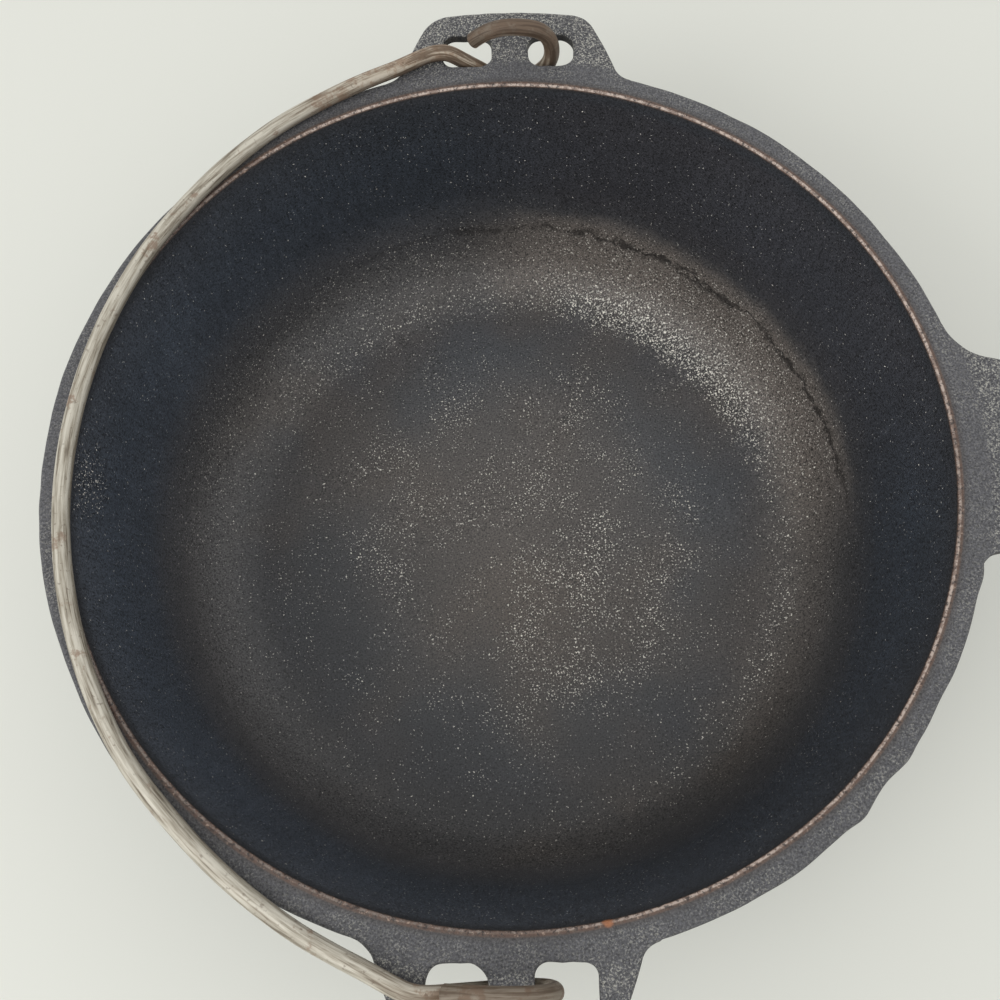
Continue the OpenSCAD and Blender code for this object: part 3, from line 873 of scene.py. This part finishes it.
    dense = maths(tree, "ADD", dense, right_drift)
    dense = maths(tree, "ADD", dense, maths(tree, "MULTIPLY", ring, ring_specks_and_glint))
    far_half = between(tree, maths(tree, "SINE", angle), -0.4, 0.3, 0.0, 0.6)
    beyond = maths(tree, "MULTIPLY", beyond, maths(tree, "MAXIMUM", near_lit, far_half))
    dense = maths(tree, "ADD", dense, beyond)
    cluster = add(tree, "ShaderNodeVectorMath", {0: place, 1: WALL_CLUSTER},
                  operation="DISTANCE").outputs["Value"]
    cluster = maths(tree, "ADD", cluster, maths(tree, "MULTIPLY", jag, 0.001))
    dense = maths(tree, "ADD", dense, between(tree, cluster, 0.004, 0.017, 0.6, 0.0))
    dense = maths(tree, "MINIMUM", dense, 1.0)
    off_rim = between(tree, run, 190.0, 195.0, 1.0, 0.0)
    speck_noise = cloud(tree, place, 0.62, 1.0, 0.5, 0.5)
    level = maths(tree, "MULTIPLY_ADD", dense, -0.197, 0.762)
    height = maths(tree, "SUBTRACT", speck_noise, level)
    off_tide = maths(tree, "MULTIPLY", maths(tree, "MULTIPLY_ADD", tide, -0.85, 1.0), off_rim)
    specks = maths(tree, "MULTIPLY", between(tree, height, 0.0, 0.014), off_tide)
    speck_shadow = between(tree, height, -0.07, -0.02)
    pits = between(tree, speck_noise, 0.35, 0.43, 1.0, 0.0)
    speck_shadow_and_pits = maths(tree, "MULTIPLY", maths(tree, "MAXIMUM", speck_shadow, pits), off_rim)
    speck_shadow_and_pits = maths(tree, "MULTIPLY", speck_shadow_and_pits, maths(tree, "MULTIPLY_ADD", dense, -0.68, -0.27))
    ground = shaded(tree, ground, maths(tree, "ADD", speck_shadow_and_pits, 1.0))
    speck_share = between(tree, cloud(tree, place, 2.4, 2.0, 0.6), 0.35, 0.6, 0.55, 1.0)
    ground = mixed(tree, maths(tree, "MULTIPLY", specks, speck_share), ground,
                   tone(243, 239, 228))

    # Larger single specks
    cells = add(tree, "ShaderNodeTexVoronoi", {"Vector": place, "Scale": 300.0})
    chosen = between(tree, add(tree, "ShaderNodeSeparateColor",
                               {0: cells.outputs["Color"]}).outputs[0], 0.86, 0.88)
    dot = between(tree, cells.outputs["Distance"], 0.05, 0.1, 1.0, 0.0)
    dot = maths(tree, "MULTIPLY", maths(tree, "MULTIPLY", dot, chosen), off_rim)
    ground = mixed(tree, maths(tree, "MULTIPLY", dot, 0.75), ground, tone(172, 168, 158))

    # Rim, ears and lug: blue-grey iron with bright sand grain
    on_rim = maths(tree, "MULTIPLY", between(tree, run, 198.0, 200.5),
                   between(tree, run, 300.0, 380.0, 1.0, 0.0))
    sand = cloud(tree, place, 0.55, 2.0, 0.75)
    sand_patch = between(tree, cloud(tree, place, 14.0, 3.0, 0.6), 0.4, 0.62, 0.3, 0.8)
    far_share = between(tree, y, -0.1, 0.1, 0.62, 1.0)
    sand_share = maths(tree, "MAXIMUM", maths(tree, "MULTIPLY", plate, far_share),
                       maths(tree, "MULTIPLY", sand_patch, 0.5))
    grain = between(tree, sand, 0.5, 0.68)
    grain = maths(tree, "MULTIPLY", maths(tree, "MULTIPLY", grain, sand_share), on_rim)
    ground = mixed(tree, maths(tree, "MULTIPLY", grain, 0.72), ground, tone(206, 204, 191))
    hollow = between(tree, sand, 0.33, 0.49, 1.0, 0.0)
    hollow = maths(tree, "MULTIPLY", maths(tree, "MULTIPLY", hollow, sand_share), on_rim)
    ground = mixed(tree, maths(tree, "MULTIPLY", hollow, 0.75), ground, tone(26, 26, 28))

    # Inside edge: worn to bare metal, with a pale line of painted highlight along it, brightest
    # towards the far ear and lug; elsewhere dull brown and flecked
    edge = maths(tree, "MULTIPLY", between(tree, run, 196.0, 196.3),
                 between(tree, run, 197.5, 198.4, 1.0, 0.0))
    ground = mixed(tree, edge, ground, tone(98, 80, 69))
    pale_line_and_glint = maths(tree, "MULTIPLY", between(tree, run, 196.35, 196.6),
                      between(tree, run, 197.1, 197.5, 1.0, 0.0))
    ground = mixed(tree, pale_line_and_glint, ground, tone(196, 179, 167))
    worn_and_lit = maths(tree, "COSINE", maths(tree, "SUBTRACT", angle, math.radians(66.0)))
    worn_and_lit = between(tree, worn_and_lit, 0.2, 0.7)
    rubbed_low = maths(tree, "COSINE", maths(tree, "SUBTRACT", angle, math.radians(-42.0)))
    worn_and_lit = maths(tree, "MAXIMUM", worn_and_lit, between(tree, rubbed_low, 0.6, 0.95, 0.0, 0.8))
    dull = maths(tree, "MULTIPLY_ADD", worn_and_lit, -0.62, 0.72)
    ground = mixed(tree, maths(tree, "MULTIPLY", dull, edge), ground, tone(76, 66, 60))
    rust_noise = between(tree, cloud(tree, place, 2.0, 4.0, 0.75), 0.46, 0.54)
    rust = maths(tree, "MULTIPLY", rust_noise, edge)
    ground = mixed(tree, maths(tree, "MULTIPLY", rust, 0.62), ground, tone(86, 62, 50))
    fleck_noise = cloud(tree, place, 1.2, 3.0, 0.75)
    dark_fleck = maths(tree, "MULTIPLY", between(tree, fleck_noise, 0.53, 0.6), edge)
    ground = mixed(tree, maths(tree, "MULTIPLY", dark_fleck, 0.75), ground, tone(36, 32, 31))
    pale_fleck = maths(tree, "MULTIPLY", between(tree, fleck_noise, 0.34, 0.4, 1.0, 0.0), edge)
    ground = mixed(tree, maths(tree, "MULTIPLY", pale_fleck, 0.6), ground, tone(172, 150, 134))
    spot = add(tree, "ShaderNodeVectorMath", {0: place, 1: RUST_SPOT},
               operation="DISTANCE").outputs["Value"]
    spot = maths(tree, "ADD", spot, maths(tree, "MULTIPLY", jag_fine, 0.0006))
    ground = mixed(tree, between(tree, spot, 0.0006, 0.0018, 0.8, 0.0), ground, tone(158, 100, 62))
    tree.links.new(ground, shader.inputs["Base Color"])

    gloss = maths(tree, "MULTIPLY_ADD", middling, 0.16, 0.36)
    gloss = maths(tree, "ADD", gloss, between(tree, run, 192.0, 200.0, 0.0, 0.14))
    tree.links.new(gloss, shader.inputs["Roughness"])

    # Cast surface: fine everywhere, coarse on the ears and the lug, specks a little proud
    coarse_depth = maths(tree, "MULTIPLY", sand, maths(tree, "MULTIPLY_ADD", plate, 1.0, 0.35))
    relief = maths(tree, "ADD", maths(tree, "MULTIPLY", fine, 1.1), coarse_depth)
    relief = maths(tree, "ADD", relief, maths(tree, "MULTIPLY", specks, 0.35))
    relief = maths(tree, "ADD", relief, maths(tree, "MULTIPLY", middling, 1.6))
    relief = maths(tree, "SUBTRACT", relief, maths(tree, "MULTIPLY", tide, 1.2))
    bump = add(tree, "ShaderNodeBump", {"Height": relief, "Strength": 0.7,
                                        "Distance": 0.00022})
    tree.links.new(bump.outputs["Normal"], shader.inputs["Normal"])
    return material


def drawn_wire():
    """Old drawn steel wire: dull tan-grey, streaked lengthwise, with brown rust patches that
    close up towards the two eyes, and painted shade along its sides and underside."""
    material = bpy.data.materials.new("old_bail_wire")
    material.use_nodes = True
    tree = material.node_tree
    shader = tree.nodes["Principled BSDF"]
    place = add(tree, "ShaderNodeTexCoord").outputs["Object"]
    run = attribute(tree, "wire_run")
    turn_x = attribute(tree, "wire_cos")
    turn_y = attribute(tree, "wire_sin")
    along = add(tree, "ShaderNodeCombineXYZ", {0: maths(tree, "MULTIPLY", turn_x, 0.0026),
                                               1: maths(tree, "MULTIPLY", turn_y, 0.0026),
                                               2: maths(tree, "MULTIPLY", run, 0.00006)})
    streak = cloud(tree, along.outputs[0], 1.0, 4.0, 0.65)
    near_end = maths(tree, "MAXIMUM", between(tree, run, 80.0, 150.0, 1.0, 0.0),
                     between(tree, run, WIRE_LENGTH - 95.0, WIRE_LENGTH - 55.0, 0.0, 0.7))
    colour = ramp(tree, streak, ((0.34, tone(104, 94, 79)), (0.46, tone(160, 153, 138)),
                                 (0.62, tone(198, 193, 179))))
    # Painted shade: the sides and the underside of the wire browner and dimmer than its top, more
    # so near the eyes
    side = between(tree, turn_y, -0.1, 0.55, 1.0, 0.0)
    colour = mixed(tree, maths(tree, "MULTIPLY", side, 0.5), colour, tone(112, 102, 88))
    patches = cloud(tree, place, 7.0, 5.0, 0.7)
    low = maths(tree, "MULTIPLY_ADD", near_end, -0.15, 0.58)
    rust = between(tree, patches, low, maths(tree, "ADD", low, 0.1))
    rust = maths(tree, "MULTIPLY", rust, maths(tree, "MULTIPLY_ADD", streak, 1.3, 0.1))
    colour = mixed(tree, maths(tree, "MULTIPLY", rust, 0.75), colour, tone(120, 88, 66))
    colour = mixed(tree, maths(tree, "MULTIPLY", near_end, 0.4), colour, tone(166, 141, 115))
    dark_streak = between(tree, streak, 0.42, 0.54, 0.8, 0.1)
    colour = mixed(tree, maths(tree, "MULTIPLY", near_end, dark_streak), colour, tone(88, 70, 54))
    dark_side_shade = maths(tree, "MULTIPLY", side, maths(tree, "MULTIPLY", near_end, 0.6))
    colour = mixed(tree, dark_side_shade, colour, tone(62, 50, 41))
    pits = between(tree, cloud(tree, place, 1.4, 3.0, 0.6), 0.62, 0.7)
    colour = mixed(tree, maths(tree, "MULTIPLY", pits, 0.45), colour, tone(84, 66, 52))
    tree.links.new(colour, shader.inputs["Base Color"])
    shader.inputs["Metallic"].default_value = 0.25
    gloss = maths(tree, "MULTIPLY_ADD", rust, 0.2, 0.52)
    tree.links.new(gloss, shader.inputs["Roughness"])
    relief = maths(tree, "ADD", maths(tree, "MULTIPLY", streak, 0.6), patches)
    bump = add(tree, "ShaderNodeBump", {"Height": relief, "Strength": 0.4, "Distance": 0.0002})
    tree.links.new(bump.outputs["Normal"], shader.inputs["Normal"])
    return material


bowl, rim, bail = pot_bowl(), pot_rim(), bail_wire()
iron = seasoned_iron()
bowl.data.materials.append(iron)
rim.data.materials.append(iron)
bail.data.materials.append(drawn_wire())
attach(bowl, "pot")
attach(rim, "pot")
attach(bail, "bail")
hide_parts("pot_floor", "pot_corner", "pot_wall")
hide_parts("rim_flange", "far_ear", "near_ear", "helper_lug")
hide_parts("bail")


def table_and_light():
    """Plain pale table top, an even world and two broad lamps."""
    mesh = bpy.data.meshes.new("table_top")
    half = 3.0
    mesh.from_pydata([(-half, -half, -0.0002), (half, -half, -0.0002), (half, half, -0.0002),
                      (-half, half, -0.0002)], [], [(0, 1, 2, 3)])
    table = bpy.data.objects.new("table_top", mesh)
    paint = bpy.data.materials.new("pale_table")
    paint.use_nodes = True
    surface = paint.node_tree.nodes["Principled BSDF"]
    surface.inputs["Base Color"].default_value = tone(221, 222, 214)
    surface.inputs["Roughness"].default_value = 0.9
    surface.inputs["Specular IOR Level"].default_value = 0.1
    mesh.materials.append(paint)
    scene.collection.objects.link(table)
    world = bpy.data.worlds.new("studio")
    scene.world = world
    world.use_nodes = True
    world.node_tree.nodes["Background"].inputs["Color"].default_value = (1.0, 1.0, 1.0, 1.0)
    world.node_tree.nodes["Background"].inputs["Strength"].default_value = 0.89
    for name, place, aim, size, power in (
            ("window_lamp", (-0.85, -0.62, 1.0), (0.0, 0.0, 0.05), 0.6, 4.2),
            ("sky_lamp", (-0.1, -0.8, 1.4), (0.0, 0.0, 0.05), 1.2, 3.0)):
        light = bpy.data.lights.new(name, "AREA")
        light.size = size
        light.energy = power
        lamp = bpy.data.objects.new(name, light)
        lamp.location = place
        way = np.array(aim) - np.array(place)
        way /= np.linalg.norm(way)
        lamp.rotation_euler = (math.acos(-way[2]), 0.0, math.atan2(way[1], way[0]) - math.pi / 2)
        scene.collection.objects.link(lamp)


table_and_light()
